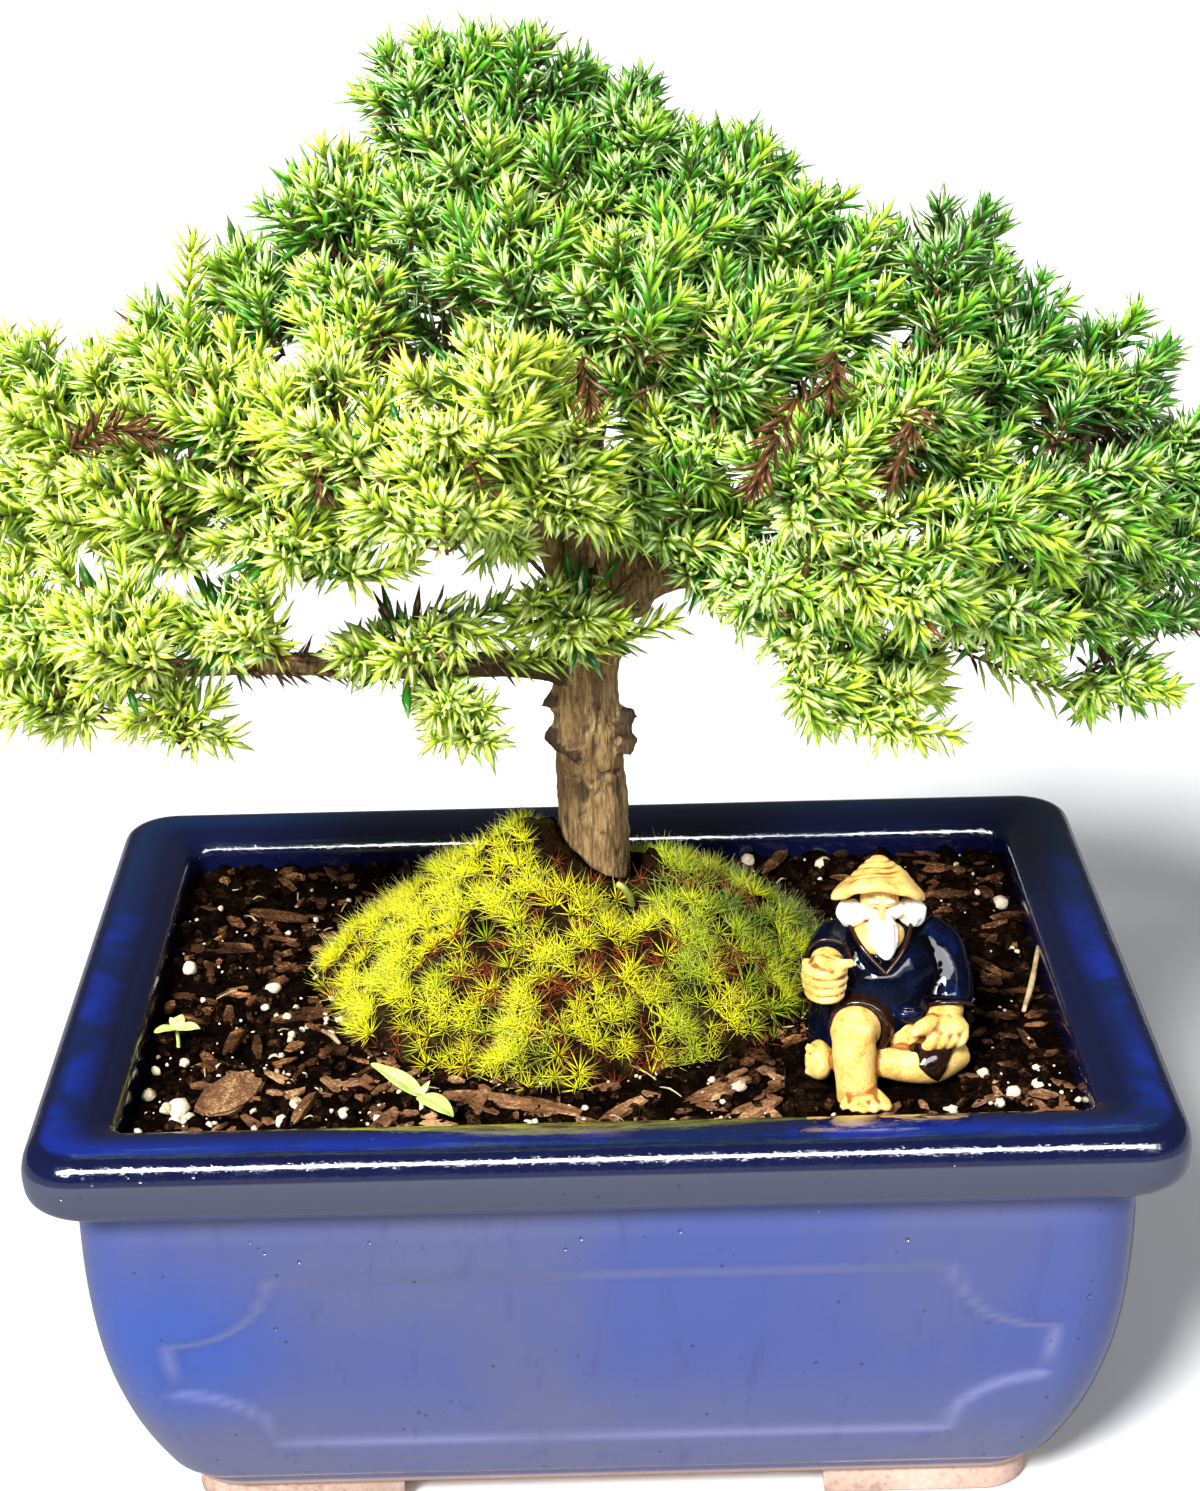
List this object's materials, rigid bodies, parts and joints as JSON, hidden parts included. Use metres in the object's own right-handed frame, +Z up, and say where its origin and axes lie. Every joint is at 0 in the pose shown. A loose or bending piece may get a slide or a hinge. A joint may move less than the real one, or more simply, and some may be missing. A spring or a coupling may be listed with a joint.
{
  "type": "juniper bonsai",
  "caption": "Juniper bonsai with spreading needle pads over a bare trunk, in a footed rectangular blue-glazed pot with soil, a moss mound and a small clay figure of a seated elder.",
  "frame": {"origin": "on the surface the pot stands on, under the middle of the pot", "axes": "+X along the pot's long side to the right as seen from the front, +Y from the front to the back, +Z up"},
  "size_m": [0.2462, 0.152, 0.2696],
  "materials": {
    "glaze": "gloss",
    "mesh": "matte",
    "soil": "matte",
    "moss": "matte",
    "bark": "matte",
    "needles": "satin",
    "clay": "satin",
    "seedling": "satin"
  },
  "bodies": {
    "root": {"pot": "glaze", "drain_mesh_left": "mesh", "drain_mesh_right": "mesh", "soil": "soil", "moss_mound": "moss", "trunk_and_branches": "bark", "clay_figure": "clay", "seedling_front": "seedling", "seedling_left": "seedling", "spray_crown_left": "needles", "spray_crown_top": "needles", "spray_crown_right": "needles", "spray_crown_front": "needles", "spray_upper_left": "needles", "spray_upper_left_out": "needles", "spray_upper_left_low": "needles", "spray_upper_front": "needles", "spray_top_right": "needles", "spray_top_front": "needles", "spray_mid_front": "needles", "spray_shoulder": "needles", "spray_right_top": "needles", "spray_right_top_out": "needles", "spray_right_mid": "needles", "spray_right_far_top": "needles", "spray_right_tip": "needles", "spray_right_far": "needles", "spray_right_inner": "needles", "spray_right_centre": "needles", "spray_right_low_front": "needles", "spray_right_low": "needles", "spray_right_low_mid": "needles", "spray_right_low_far": "needles", "spray_right_end": "needles", "spray_right_hang": "needles", "spray_heart": "needles", "spray_heart_up": "needles", "spray_front_high": "needles", "spray_front_low": "needles", "spray_front_side": "needles", "spray_front_left": "needles", "spray_left_mid": "needles", "spray_left_top": "needles", "spray_left_tip": "needles", "spray_left_low": "needles", "spray_left_out": "needles", "spray_left_under": "needles", "spray_low_left": "needles", "spray_low_left_out": "needles", "spray_low_left_in": "needles", "spray_low_mid": "needles", "spray_low_front": "needles", "spray_back_left": "needles", "spray_back_left_up": "needles", "spray_back_mid": "needles", "spray_back_right_up": "needles", "spray_back_right": "needles", "spray_back_far_left": "needles", "spray_back_far_right": "needles"}
  },
  "joints": []
}
